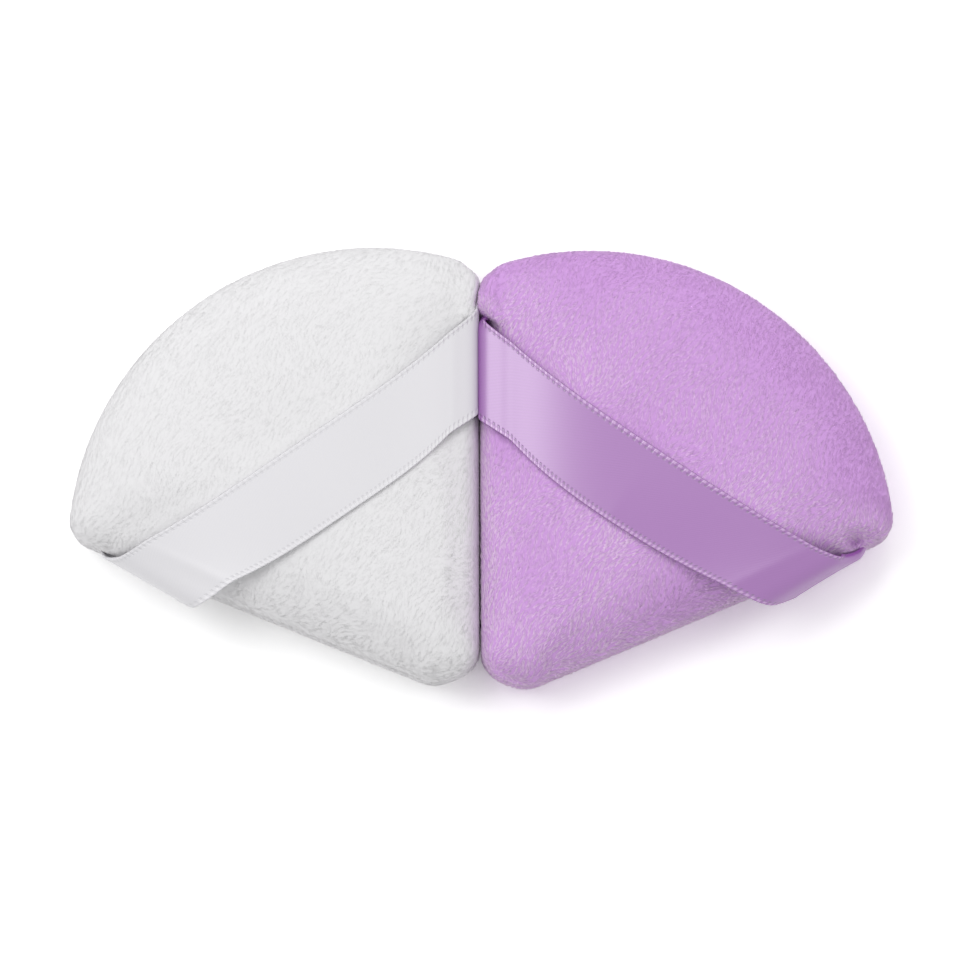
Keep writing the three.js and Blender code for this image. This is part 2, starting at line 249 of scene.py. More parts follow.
def mixed(tree, share, first, second):
    """A Mix node from a first to a second colour by a share; gives its result."""
    node = add_node(tree, "ShaderNodeMix", data_type="RGBA")
    for index, value in ((MIX_SHARE, share), (MIX_FIRST, first), (MIX_SECOND, second)):
        feed(tree, node.inputs[index], value)
    return node.outputs[MIX_RESULT]


def toned(tree, share, *stops):
    """A colour ramp on a share with two stops, each a place and a colour; gives its result."""
    node = add_node(tree, "ShaderNodeValToRGB", Fac=share)
    for element, (place, colour) in zip(node.color_ramp.elements, stops):
        element.position = place
        element.color = colour
    return node.outputs["Color"]


# Where the ribbon's bunched edge presses the rim in at its outer and inner end: place along the puff, height and
# depth
DIMPLES = {
    "white": [(50.4, 11.9, 0.4), (50.8, 12.0, 0.6)],
    "lavender": [(51.4, 11.9, 3.0), (51.2, 12.4, 1.9)],
}
DIMPLE_SPREAD = np.array([0.9, 0.9, 2.4])
DIMPLE_NEARNESS = np.array([1, 1, 4])  # a distance upwards counts for more when the nearest point is sought
DIMPLE_INWARD = 0.15  # of the depth


def dimpled(rings, name):
    """Rings pressed in at the ribbon's ends, downwards and a little inwards, by a bell curve about each dimple's
    middle, the point of the rim that is nearest to its place and height. Gives the rings and how much of the press
    each point feels."""
    side = PUFFS[name]["side"]
    moved, felt = rings.copy(), np.zeros(rings.shape[:2])
    for end, (y, height, depth) in zip((side, -side), DIMPLES[name]):
        aim = np.array([end * y * math.tan(HALF_ANGLE), y, height])
        middle = rings.reshape(-1, 3)[np.argmin(np.sum(((rings - aim) * DIMPLE_NEARNESS) ** 2, axis=2))]
        share = np.exp(-0.5 * np.sum(((rings - middle) / DIMPLE_SPREAD) ** 2, axis=2))
        inward = DIMPLE_INWARD * np.array([-end * math.cos(HALF_ANGLE), math.sin(HALF_ANGLE)])
        moved += share[..., None] * np.array([*inward, -1]) * depth
        felt = np.maximum(felt, share)
    return moved, felt


# Cut foam shows pores of about a quarter of a millimetre between its paler struts; the pores' darker colour is
# painted shade in their hollows
foam_material, tree, shader = new_material("soft foam", Roughness=0.95, Specular_IOR_Level=0.15)
place = add_node(tree, "ShaderNodeTexCoord").outputs["Object"]
cells = add_node(tree, "ShaderNodeTexVoronoi", Vector=place, Scale=3200.0).outputs["Distance"]
colour = toned(tree, cells, (0.0, FOAM_PORE_SHADE), (0.45, FOAM_COLOUR))
bump = add_node(tree, "ShaderNodeBump", Height=cells, Strength=0.6, Distance=0.0002)
tree.links.new(colour, shader.inputs["Base Color"])
tree.links.new(bump.outputs["Normal"], shader.inputs["Normal"])

for name, puff in PUFFS.items():
    rows = np.concatenate([
        face_rows(TOP_FACE, FOAM_DEPTH, crown_steps=12, rim_steps=10),
        np.array([[FOAM_GROOVE, height, 1] for height in (ROLL_HEIGHT, 0, -ROLL_HEIGHT)]),
        face_rows(BOTTOM_FACE, FOAM_DEPTH, crown_steps=6, rim_steps=10)[::-1],
    ])
    rings, _ = dimpled(fan_rings(FOAM_COLUMNS, *rows.T), name)
    points, faces = capped_sweep(rings)
    foam = new_piece(f"{name}_foam_pad", lay(points, puff), faces, foam_material)
    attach(foam, "root")
    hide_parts(f"{name}_foam_core")


# Bottom panels
# The lower half of each bag is one fan of polyester velour: a knitted ground with a short brushed pile on it.
# Its edge is turned in and sewn to the top panel's edge; the pile is pressed flat where the puff lies on it.

PILE_DEPTH = 0.2  # the knitted ground lies this far below the tips of the pile
CLOTH_DEPTH = 1.2  # ground and pile together
SEAM_DEPTH = 1.0  # the seam line lies this far inside the widest outline
SEAM_ALLOWANCE = 4.0
SEAM_FACE = 0.17  # each turned-in edge starts this far off the seam's middle
SEAM_BEND = 2.5  # inset of one more ring on both sides of the turned-in edge
GROUND_COLUMNS = 300
RIM_STEPS = 18
ROLL_STEPS = 9
LINING_STEP = 3  # the inner side has every third ring of the outer one

# How the straight sides that meet have settled: how far they bulge at places along the puff from beside the apex
# to the corner, how directly they must face the neighbour for it, and how far in the bulge dies out
BULGE_PLACES = (8, 36, 51, 53, 56)
NEIGHBOUR_BULGE = {"white": (1.2, 1.45, 2.6, 2.2, 0.4), "lavender": (0.9, 1.5, 2.8, 2.4, 0.5)}
FACING_START, FACING_RANGE, FACING_POWER = 0.35, 0.6, 1.5
BULGE_REACH = 4.0
SHOULDER_RISE = {"white": 0.6, "lavender": 1.0}  # of the rim there, as a share of the bulge
SHOULDER_INSET, SHOULDER_WIDTH, SHOULDER_FADE = 1.2, 1.3, 2.0
RIBBON_PRESS = {"white": (37.2, 49.0), "lavender": (37.2, 49.8)}  # where the ribbon holds the side back
PRESS_SOFTNESS = (0.6, 0.5)  # how softly that starts and stops
MEETING_LEAN = 0.15  # the plane where they meet leans over the white one above the widest outline
MEETING_SOFTNESS = 0.08

# How the locks of pile lie. Each kind of waves has a count and a shortest and longest length: those that swing the
# lie, those of the brushed patches and those that gather tufts
NAP_HEADING = math.radians(58)  # the way the pile was brushed, on the table
LIE_WAVES, PATCH_WAVES, TUFT_WAVES = (14, 5, 16), (12, 14, 40), (40, 0.55, 1.0)
TUFT_LEAN = 0.35
NAP_SAG = np.array([0, 0, -0.9])  # the pile hangs down on a steep side
SAG_TURN = 0.3  # and turns the other way where the ground faces down by more than this
SWING_BY_WAVES, SWING_AT_RANDOM = 0.32, 0.22
LOCK_LENGTH = (1.0, 1.6)
LENGTH_BY_TUFT = 0.08
LOCK_HALF_WIDTH = (0.09, 0.15)
LIFT, LIFT_BY_TUFT, LIFT_AT_RANDOM, LIFT_RANGE = 0.14, 0.04, 0.02, (0.04, 0.28)
GATHER_BY_SLOPE, GATHER_AT_RANDOM, GATHER_LIMIT = 0.02, 0.06, 0.3
ROOT_DEPTH, ROOT_BACK = 0.08, 0.4  # the root lies below the ground and behind the lock's place
RIDGE_WAY, RIDGE_LIFT, RIDGE_GATHER, TIP_LIFT = 0.45, 0.95, 0.4, 0.04
LOCK_STAND = {"white": 0.32, "lavender": 0.75}  # how far the locks stand up, as a share of full
LOCK_SOFTNESS = {"white": 0.92, "lavender": 0.88}  # share of the ground's direction in how a lock catches light
# Share of the deeper colour: a middle value, random patches, and painted nap shading by how the ground faces the
# nap, deeper where it faces the nap and paler, as painted sheen, where it faces against it
BRUSHED, BRUSHED_BY_WAVES, NAP_SHADING_BY_FACING = 0.53, 0.25, 1.5
BOTTOM_LOCKS = 26000
BOTTOM_SEEDS = {"white": 11, "lavender": 12}
UNDERSIDE_LEVEL, UNDERSIDE_DENSITY = 0.9, 0.3  # fewer locks are needed where the puff lies on the table
PRESSED_LEVEL, PRESSED_RANGE, PRESSED_STAND = 0.55, 1.2, 0.25  # the table presses the lowest locks flat
TABLE_GAP = 0.03

# Each velour's colours: between the locks, painted shade for their roots and the ground under them; on the locks,
# which also serves as painted sheen where the ground faces against the nap; and a deeper one for patches of pile
# turned against its lie by brushing, which also serves as painted shade where the ground faces the way of the nap
VELOUR_COLOURS = {
    "white": [(0.845, 0.84, 0.855, 1), (0.86, 0.855, 0.865, 1), (0.855, 0.85, 0.86, 1)],
    "lavender": [(0.58, 0.285, 0.715, 1), (0.92, 0.68, 0.96, 1), (0.74, 0.425, 0.835, 1)],
}
VELOUR_SHEEN = {"white": (1, 0.97, 1, 1), "lavender": (1, 0.84, 1, 1)}
TIP_WEIGHT = 0.45  # how much a tip share of one adds to the tuft's painted light


def velour_group():
    """Colour of velour from its pile mask (tip share, tuft, share of the deeper colour): the colour on the locks
    goes over to the deeper colour by that share, which holds random patches and painted nap shading and sheen, and
    the painted crevice shade between the locks goes over to that by tip share and tuft, as painted light on tips
    and raised tufts."""
    group = bpy.data.node_groups.new("velour pile", "ShaderNodeTree")
    for label in ("Crevice", "Pile", "Brushed"):
        group.interface.new_socket(label, in_out="INPUT", socket_type="NodeSocketColor")
    group.interface.new_socket("Color", in_out="OUTPUT", socket_type="NodeSocketColor")
    given = group.nodes.new("NodeGroupInput").outputs
    result = group.nodes.new("NodeGroupOutput").inputs
    mask = add_node(group, "ShaderNodeAttribute", attribute_name="pile").outputs["Color"]
    split = add_node(group, "ShaderNodeSeparateColor", Color=mask).outputs
    brushed_and_nap_shading = mixed(group, split["Blue"], given["Pile"], given["Brushed"])
    painted_light = reckon(group, "MULTIPLY_ADD", split["Red"], TIP_WEIGHT, split["Green"])
    group.links.new(mixed(group, painted_light, given["Crevice"], brushed_and_nap_shading), result["Color"])
    return group


VELOUR_GROUP = velour_group()


def velour_material(name):
    """Velour: the pile's colour on a rough shader with a soft sheen."""
    crevice_shade, pile, brushed_and_nap_shading = VELOUR_COLOURS[name]
    material, tree, shader = new_material(
        f"{name} velour", Roughness=0.9, Specular_IOR_Level=0.1, Sheen_Weight=0.8, Sheen_Roughness=0.35
    )
    shader.inputs["Sheen Tint"].default_value = VELOUR_SHEEN[name]
    nap = add_node(tree, "ShaderNodeGroup", node_tree=VELOUR_GROUP, Crevice=crevice_shade, Pile=pile, Brushed=brushed_and_nap_shading)
    tree.links.new(nap.outputs["Color"], shader.inputs["Base Color"])
    return material


VELOUR = {name: velour_material(name) for name in PUFFS}


def shell_rows(face, crown_steps):
    """Inset, height and share of a panel's rings: first those out over the ground's outer side and down the
    quarter round to the seam line, then those in and back along the turned-in seam edge."""
    outer = face_rows(face, PILE_DEPTH, crown_steps, RIM_STEPS)
    angle = np.linspace(0, math.pi / 2, ROLL_STEPS + 1)[1:]
    inset = SEAM_DEPTH - (SEAM_DEPTH - PILE_DEPTH) * np.cos(angle)
    height = ROLL_HEIGHT - (ROLL_HEIGHT - SEAM_FACE) * np.sin(angle)
    roll = np.stack([inset, face["sign"] * height, np.ones_like(angle)], axis=1)
    flap = SEAM_DEPTH + SEAM_ALLOWANCE
    back = SEAM_FACE + CLOTH_DEPTH
    inset = np.array([SEAM_BEND, flap, flap, SEAM_BEND, CLOTH_DEPTH])
    height = np.array([SEAM_FACE, SEAM_FACE, back, back, back])
    edge = np.stack([inset, face["sign"] * height, np.ones_like(inset)], axis=1)
    return np.concatenate([outer, roll]), edge


def lined(outer, normals, edge):
    """All rings of a panel: its outer side, its turned-in edge, and its inner side, which lies one cloth below the
    outer side, back from the widest outline to the middle."""
    inner = (outer - (CLOTH_DEPTH - PILE_DEPTH) * normals)[LINING_STEP:-ROLL_STEPS:LINING_STEP]
    return np.concatenate([outer, edge, inner[::-1]])


def leaned(rings, inset, name):
    """The outer side of a panel after the puff has settled against its neighbour: on the straight side beside the
    neighbour the rings move outwards by a bulge that grows from the apex towards the corner, less further in, and
    not where the ribbon presses the cloth back. The upper shoulder of the rim rises by a share of the bulge. What
    would pass the plane where the puffs meet is pressed flat against it, with a soft turn into the flat."""
    points, outward = fan_outline(rings.shape[1])
    side = PUFFS[name]["side"]
    facing = outward @ [-side * math.cos(HALF_ANGLE), -math.sin(HALF_ANGLE)]
    facing = np.clip((facing - FACING_START) / FACING_RANGE, 0, 1) ** FACING_POWER
    y = points[:, 1]
    start, stop = (np.tanh((y - place) / soft) for place, soft in zip(RIBBON_PRESS[name], PRESS_SOFTNESS))
    pressed = 0.5 * (start - stop)
    bulge = np.interp(y, BULGE_PLACES, NEIGHBOUR_BULGE[name]) * facing * (1 - pressed)
    rim = np.clip(1 - inset / BULGE_REACH, 0, 1)
    moved = rings.copy()
    moved[..., :2] += (rim[:, None] * bulge)[..., None] * outward
    shoulder = SHOULDER_RISE[name] * np.exp(-(((inset - SHOULDER_INSET) / SHOULDER_WIDTH) ** 2))[:, None]
    above = rings[..., 2] - SEAM_HEIGHT - ROLL_HEIGHT
    moved[..., 2] += bulge * shoulder * np.clip(above / SHOULDER_FADE, 0, 1)
    away = np.array([side * math.cos(PUFFS[name]["turn"]), math.sin(PUFFS[name]["turn"])])
    clear = moved[..., :2] @ away + PUFF_SPACING / 2 + side * PAIR_SHIFT[0]
    clear += side * MEETING_LEAN * np.maximum(0, moved[..., 2] - SEAM_HEIGHT - ROLL_HEIGHT)
    moved[..., :2] += (MEETING_SOFTNESS * np.logaddexp(0, -clear / MEETING_SOFTNESS))[..., None] * away
    return moved


def ring_normals(rings):
    """Unit normals of a surface of closed rings: the step to the next ring crossed with the step round it."""
    down = np.gradient(rings, axis=0)
    around = np.roll(rings, -1, axis=1) - np.roll(rings, 1, axis=1)
    normal = np.cross(down, around)
    return normal / np.maximum(np.linalg.norm(normal, axis=2, keepdims=True), 1e-12)


def waves(points, vectors, phases):
    """A smooth random field and its slope: the sum of cosines of wave vector times place plus phase, scaled to
    unit spread."""
    scale = math.sqrt(2 / len(phases))
    angle = points @ vectors.T + phases
    return scale * np.cos(angle).sum(axis=1), -scale * np.sin(angle) @ vectors


def wave_vectors(rng, count, shortest, longest, axis=None, lean=1.0):
    """Random wave vectors for lengths in millimetres. With an axis they lie level and across it, so that the field
    is drawn out along it, apart from the lean."""
    heading = rng.normal(size=(count, 3))
    if axis is not None:
        heading += (lean - 1) * (heading @ axis)[:, None] * axis
        heading[:, 2] *= lean
    heading /= np.linalg.norm(heading, axis=1, keepdims=True)
    length = rng.uniform(shortest, longest, count)
    return heading * (2 * math.pi / length)[:, None], rng.uniform(0, 2 * math.pi, count)


def scatter(rng, rings, normals, count, density):
    """Random places on a surface of rings, as many on each cell as its area times its density asks: a cell is
    drawn by weight, and the place is the bilinear mean of its corners. Gives places and normals."""
    after = np.roll(rings, -1, axis=1)
    across = np.linalg.norm(np.cross(rings[1:] - rings[:-1], after[:-1] - rings[:-1]), axis=2)
    weight = (across * density[:-1]).ravel()
    cell = rng.choice(weight.size, size=count, p=weight / weight.sum())
    row, column = np.divmod(cell, rings.shape[1])
    following = (column + 1) % rings.shape[1]
    u, v = rng.random((2, count, 1))

    def blend(grid):
        near = grid[row, column] * (1 - v) + grid[row, following] * v
        far = grid[row + 1, column] * (1 - v) + grid[row + 1, following] * v
        return near * (1 - u) + far * u

    normal = blend(normals)
    return blend(rings), normal / np.linalg.norm(normal, axis=1, keepdims=True)


def pile_locks(rng, place, normal, puff, stand):
    """Locks of pile as slender four-cornered spikes in millimetres: root left, root right, ridge and tip. Each
    lies along the nap, swung by slow waves and a little at random; fine waves drawn out along the nap gather the
    tips into tufts and lift them. stand scales the lift. A lock's share of the deeper colour follows slow random
    patches and, as painted nap shading and sheen, the way the ground faces: more where it faces the nap, less
    where it faces against it. Gives points, tufts and shares of the deeper colour."""
    count = len(place)
    heading = NAP_HEADING + puff["side"] * puff["turn"]
    nap = np.array([math.cos(heading), math.sin(heading), 0])
    swirl, _ = waves(place, *wave_vectors(rng, *LIE_WAVES))
    patch, _ = waves(place, *wave_vectors(rng, *PATCH_WAVES))
    tuft, slope = waves(place, *wave_vectors(rng, *TUFT_WAVES, axis=nap, lean=TUFT_LEAN))
    along = nap + NAP_SAG * (1 - normal[:, 2:]) * np.sign(normal[:, 2:] + SAG_TURN)
    along -= np.sum(along * normal, axis=1, keepdims=True) * normal
    along /= np.maximum(np.linalg.norm(along, axis=1, keepdims=True), 1e-9)
    swing = (SWING_BY_WAVES * swirl + rng.normal(0, SWING_AT_RANDOM, count))[:, None]
    across = np.cross(normal, along)
    along, across = np.cos(swing) * along + np.sin(swing) * across, np.cos(swing) * across - np.sin(swing) * along
    length = rng.uniform(*LOCK_LENGTH, count) * (1 - LENGTH_BY_TUFT + LENGTH_BY_TUFT * np.clip(tuft, -1, 1))
    half = rng.uniform(*LOCK_HALF_WIDTH, count)[:, None] * across
    lift = np.clip(LIFT + LIFT_BY_TUFT * tuft + rng.normal(0, LIFT_AT_RANDOM, count), *LIFT_RANGE) * stand
    gather = GATHER_BY_SLOPE * np.sum(slope * across, axis=1) + rng.normal(0, GATHER_AT_RANDOM, count)
    gather = np.clip(gather, -GATHER_LIMIT, GATHER_LIMIT)[:, None] * across
    way = length[:, None] * along
    root = place - ROOT_DEPTH * normal - ROOT_BACK * way
    ridge = root + RIDGE_WAY * way + (RIDGE_LIFT * lift + ROOT_DEPTH)[:, None] * normal + RIDGE_GATHER * gather
    tip = root + way + (lift + TIP_LIFT)[:, None] * normal + gather
    # Random patches plus painted nap shading and sheen by how the ground faces the nap
    brushed_and_nap_shading = BRUSHED + BRUSHED_BY_WAVES * patch + NAP_SHADING_BY_FACING * normal @ nap
    return np.stack([root + half, root - half, ridge, tip], axis=1), tuft, brushed_and_nap_shading


# A lock's faces, its corners' tip shares and their places in its cell of the bake map; the ground's tip share and
# tuft, a lock's tuft, and where the ground's rings, columns and two middles lie on the bake map. Low tip shares
# and tufts give the painted crevice shade, higher ones painted light on tips and raised tufts
LOCK_FACES = np.array([[0, 1, 2], [1, 3, 2], [3, 0, 2], [0, 3, 1]])
LOCK_TIP_SHARES = (0.05, 0.05, 0.8, 1.0)
LOCK_CELL = np.array([[0.12, 0.1], [0.88, 0.1], [0.5, 0.5], [0.5, 0.9]])
GROUND_TIP_SHARE, GROUND_TUFT = 0.1, 0.3
TUFT_MEAN, TUFT_SPREAD = 0.42, 0.13
MAP_ROWS, MAP_COLUMNS, MAP_MIDDLES = (0.01, 0.48), (0.005, 0.985), (0.004, 0.496)


def velour_piece(label, name, rings, locks, normal, tuft, brushed_and_nap_shading, ground_brushed):
    """One panel from its ground's rings and its locks, laid in the pair. The pile mask holds tip share, tuft and
    share of the deeper colour for each point, which carry painted light and shade: painted crevice shade at roots
    and ground, painted light on tips and raised tufts, and painted nap shading and sheen. A lock's normals lean to
    the ground's normal, as fine fibres scatter the light. The bake map gives the ground the left half of the
    square and each lock a cell of its own in the right half."""
    ground, faces = capped_sweep(rings)
    count = len(locks)
    points = np.concatenate([ground, locks.reshape(-1, 3)])
    lock_faces = len(ground) + 4 * np.arange(count)[:, None, None] + LOCK_FACES
    quads, fans = faces
    piece = new_piece(label, lay(points, PUFFS[name]), [quads, fans, lock_faces.reshape(-1, 3)], VELOUR[name])
    mesh = piece.data
    # The mask carries painted light and shade: tip share and tuft lift the colour from the painted crevice shade
    # of roots and ground to painted light on tips and raised tufts; the third share holds random patches and
    # painted nap shading and sheen
    mask = np.ones((len(points), 4), dtype=np.float32)
    mask[: len(ground), :3] = GROUND_TIP_SHARE, GROUND_TUFT, ground_brushed
    mask[len(ground):, 0] = np.tile(LOCK_TIP_SHARES, count)
    mask[len(ground):, 1] = np.repeat(TUFT_MEAN + TUFT_SPREAD * tuft, 4)
    mask[len(ground):, 2] = np.repeat(brushed_and_nap_shading, 4)
    pile = mesh.color_attributes.new("pile", "FLOAT_COLOR", "POINT")
    pile.data.foreach_set("color", np.clip(mask, 0, 1).ravel())
    rows, columns = rings.shape[:2]
    corner = np.empty(len(mesh.loops), dtype=np.int32)
    mesh.loops.foreach_get("vertex_index", corner)
    row, column = np.divmod(corner, columns)
    quad_loops = quads.size
    shell_loops = quad_loops + fans.size
    (left, wide), (low, high) = MAP_ROWS, MAP_COLUMNS
    place = np.stack([left + wide * row / rows, low + high * column / columns], axis=1)
    wrapped = np.zeros(len(corner), dtype=bool)
    wrapped[:quad_loops].reshape(-1, 4)[:, 2:] = column[:quad_loops].reshape(-1, 4)[:, 2:] == 0
    place[wrapped, 1] = low + high
    fan = np.arange(len(fans))
    middle = place[quad_loops:shell_loops].reshape(-1, 3, 2)[:, 0]
    middle[:, 0] = np.where(fan < columns, *MAP_MIDDLES)
    middle[:, 1] = low + high * (fan % columns + 0.5) / columns
    across = math.ceil(math.sqrt(count / 2))
    lock, part = np.divmod(corner[shell_loops:] - len(ground), 4)
    cell = np.stack([lock % across, lock // across], axis=1) + LOCK_CELL[part]
    place[shell_loops:] = [0.5, 0] + cell * (0.5 / across)
    mesh.uv_layers.new(name="OFBake").data.foreach_set("uv", place.astype(np.float32).ravel())
    shading = np.empty(len(points) * 3, dtype=np.float32)
    mesh.vertex_normals.foreach_get("vector", shading)
    shading = shading.reshape(-1, 3)
    below = (lay(normal, PUFFS[name]) - lay(np.zeros(3), PUFFS[name])) * 1000
    shading[len(ground):] *= 1 - LOCK_SOFTNESS[name]
    shading[len(ground):] += LOCK_SOFTNESS[name] * np.repeat(below, 4, axis=0)
    mesh.normals_split_custom_set_from_vertices(shading / np.linalg.norm(shading, axis=1, keepdims=True))
    return piece


for name, puff in PUFFS.items():
    rng = np.random.default_rng(BOTTOM_SEEDS[name])
    rows, edge_rows = shell_rows(BOTTOM_FACE, crown_steps=10)
    outer = leaned(fan_rings(GROUND_COLUMNS, *rows.T), rows[:, 0], name)
    normals = -ring_normals(outer)
    rings = lined(outer, normals, fan_rings(GROUND_COLUMNS, *edge_rows.T))
    density = np.where(outer[..., 2] > UNDERSIDE_LEVEL, 1.0, UNDERSIDE_DENSITY)
    place, normal = scatter(rng, outer, normals, BOTTOM_LOCKS, density)
    pressed = np.clip((place[:, 2] - PRESSED_LEVEL) / PRESSED_RANGE, PRESSED_STAND, 1)
    locks, tuft, brushed_and_nap_shading = pile_locks(rng, place, normal, puff, LOCK_STAND[name] * pressed)
    locks[..., 2] = np.maximum(locks[..., 2], TABLE_GAP)
    piece = velour_piece(
        f"{name}_bottom_velour", name, rings[::-1], locks, normal, tuft, brushed_and_nap_shading, ground_brushed=0.5
    )
    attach(piece, "root")
    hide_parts(f"{name}_bottom_panel")


# Top panels
# The upper half of each bag is a second fan of the same velour, drawn round over the foam to a low crown.
# Its edge is turned in and sewn to the bottom panel; it dips where the ribbon's ends are caught in the seam.

TOP_LOCKS = 41000
TOP_SEEDS = {"white": 21, "lavender": 22}
EASE_START, EASE_RANGE, EASE_PASSES = 0.6, 2.6, 30  # the crown is evened out from this far in
CROWN_SLACK = 0.3  # the cloth starts this much lower and is swelled by its filling
SWELL_UNIT = 100  # millimetres to a unit of the simulation, which is ten times life size
SWELL_FRAMES = 20
SWELL_PASSES = 24
SWELL_CAP = 0.7
DIMPLE_HELD = 0.7  # points that feel more than this of a dimple's press are held
MIDDLE_CALM = 0.25  # inside this share of the crown the cloth moves with the mean of its ring


def eased(rows, passes):
    """Rows of points evened out along the grid: each row takes a quarter of both neighbours, the ends stay."""
    for _ in range(passes):
        rows = np.concatenate([rows[:1], 0.25 * rows[:-2] + 0.5 * rows[1:-1] + 0.25 * rows[2:], rows[-1:]])
    return rows


def evened(rings, passes):
    """Closed rings evened out both ways: each point takes a quarter of both neighbours along the rows, then round
    its ring; the first and last ring stay."""
    for _ in range(passes):
        rings = eased(rings, 1)
        rings = 0.25 * np.roll(rings, 1, axis=1) + 0.5 * rings + 0.25 * np.roll(rings, -1, axis=1)
    return rings


def swelled(rings, felt, share):
    """The outer side of the cloth after the foam has filled it out: Blender's cloth, held from its widest outline
    down and in the dimples, under even pressure and no weight. The foam takes out the wrinkles, so the way that
    each point moved is evened out, and no point moves further than the cap."""
    rows, columns = rings.shape[:2]
    points, faces = capped_sweep(rings)
    body = new_piece("filling", points / SWELL_UNIT, faces, foam_material)
    held = body.vertex_groups.new(name="held")
    first_held = (rows - ROLL_STEPS - 1) * columns
    held.add(list(range(first_held, rows * columns)) + [rows * columns + 1], 1.0, "REPLACE")
    held.add(np.flatnonzero(felt > DIMPLE_HELD).tolist(), 1.0, "REPLACE")
    cloth = body.modifiers.new("filling", "CLOTH")
    cloth.settings.quality = 5
    cloth.settings.mass = 0.3
    cloth.settings.tension_stiffness = 15
    cloth.settings.bending_stiffness = 0.5
    cloth.settings.use_pressure = True
    cloth.settings.uniform_pressure_force = 2
    cloth.settings.effector_weights.gravity = 0
    cloth.settings.vertex_group_mass = "held"
    cloth.collision_settings.use_collision = False
    cloth.point_cache.frame_end = SWELL_FRAMES
    for step in range(1, SWELL_FRAMES + 1):
        scene.frame_set(step)
    result = np.empty(len(points) * 3, dtype=np.float32)
    body.evaluated_get(bpy.context.evaluated_depsgraph_get()).data.vertices.foreach_get("co", result)
    scene.frame_set(1)
    bpy.data.objects.remove(body)
    moved = result.reshape(-1, 3)[: rows * columns].reshape(rings.shape) * SWELL_UNIT - rings
    mean = moved.mean(axis=1, keepdims=True)
    own = np.clip(share / MIDDLE_CALM, 0, 1)[:, None, None]
    moved = evened(mean + own * (moved - mean), SWELL_PASSES)
    size = np.linalg.norm(moved, axis=2, keepdims=True)
    return rings + moved * np.minimum(1, SWELL_CAP / np.maximum(size, 1e-9))


for name, puff in PUFFS.items():
    rng = np.random.default_rng(TOP_SEEDS[name])
    rows, edge_rows = shell_rows(TOP_FACE, crown_steps=36)
    inset, _, share = rows.T
    outer = leaned(fan_rings(GROUND_COLUMNS, *rows.T), inset, name)
    soft = np.clip((inset - EASE_START) / EASE_RANGE, 0, 1)[:, None, None]
    outer = outer + soft * (evened(outer, EASE_PASSES) - outer)
    outer[..., 2] -= CROWN_SLACK * np.clip(1 - share[:, None] ** 2, 0, 1)
    outer, felt = dimpled(outer, name)
    outer = swelled(outer, felt, share)
    normals = ring_normals(outer)
    rings = lined(outer, normals, fan_rings(GROUND_COLUMNS, *edge_rows.T))
    place, normal = scatter(rng, outer, normals, TOP_LOCKS, np.ones(outer.shape[:2]))
    locks, tuft, brushed_and_nap_shading = pile_locks(rng, place, normal, puff, LOCK_STAND[name])
    piece = velour_piece(f"{name}_top_velour", name, rings, locks, normal, tuft, brushed_and_nap_shading, ground_brushed=0.6)
    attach(piece, "root")
    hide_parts(f"{name}_top_panel")


# Ribbon straps
# Half-inch satin ribbon with a woven selvedge along both edges, laid over each puff for the fingers.
# Both ends turn down over the rim and are caught in the seam; the outer end is left a little loose.

RIBBON_WIDTH = 13.0
RIBBON_THICKNESS = 0.28
RIBBON_STATION = 40.8  # its middle line at the crown's edge, from the point where the sides would meet
RIBBON_REST = 0.5  # its middle lies this far off the tips of the pile
RIBBON_TUCK = 3.2
CURL_TURN = 5.2  # angle that the curled strip turns through
CURL_EVEN = 0.25  # share of that turn that is even along the strip; the rest tightens towards the edge
CURL_ANGLE, CURL_FADE = 20, 5  # degrees up the rim where the curl opens out again
STAND_ANGLE, STAND_SPREAD = 30, 16  # degrees up the rim where the ribbon stands off most
LOW_POWER = 1.5  # how fast gather and spread die out up the rim
SPREAD_POWER = 4  # and how fast the spread dies out from the upper edge
TUCK_ROWS, ROUND_ROWS, RIM_ROWS, CROWN_ROWS = 14, 18, 36, 116
RIBBON_PASSES = 8  # of evening out along the ribbon
SELVEDGE_PITCH = 0.9

# The two cords along each edge: inset, width, height, and how much the height swells at each turn of weft
SELVEDGE_CORDS = [(0.2, 0.16, 0.04, 0.025), (0.62, 0.14, 0.015, -0.02)]

# Places across the ribbon from its lower edge to its upper one, closer near both, and the one in its middle
ACROSS = np.concatenate([
    np.linspace(0, 0.09, 9, endpoint=False), np.linspace(0.09, 0.7, 18, endpoint=False), np.linspace(0.7, 1, 28)
])
MIDDLE_PLACE = 20

# Each strap's loose outer end and snug inner end: slack of its lower and upper edge, how far both stand up on the
# rim before they turn down, how far the end has slipped towards the arc, how far both edges are gathered that way
# on the rim, and how far the upper edge spreads where it is bunched into the seam. Then how far the strap bows,
# how wide a strip of it curls in, its gloss, the shade between its floats and its colours of floats, gaps and
# loops: the gaps' colour is painted shade in the selvedge's small holes, the loops' colour a painted highlight on
# its turns of weft
STRAPS = {
    "white": {
        "outer": {"slack": (1.9, 0.12), "stand": (1.6, 0.25), "slip": 1.1, "gather": (0, 0), "spread": 0.5},
        "inner": {"slack": (0.3, 0.4), "stand": (0.9, 0.9), "slip": 1.3, "gather": (0, 0), "spread": 1.8},
        "bow": 0.5, "curl": 0.6, "ior": 1.5, "shade": 0.985,
        "colours": [(0.75, 0.74, 0.77, 1), (0.70, 0.69, 0.72, 1), (0.79, 0.78, 0.81, 1)],
    },
    "lavender": {
        "outer": {"slack": (2.2, 0.25), "stand": (1.1, 0.7), "slip": 0.3, "gather": (2.6, 1.2), "spread": 3.2},
        "inner": {"slack": (0.34, 0.56), "stand": (1.5, 1.5), "slip": 0.9, "gather": (0, 0), "spread": 3.6},
        "bow": 1.4, "curl": 2.8, "ior": 1.87, "shade": 0.93,
        "colours": [(0.27, 0.045, 0.365, 1), (0.17, 0.04, 0.23, 1), (0.47, 0.23, 0.55, 1)],
    },
}


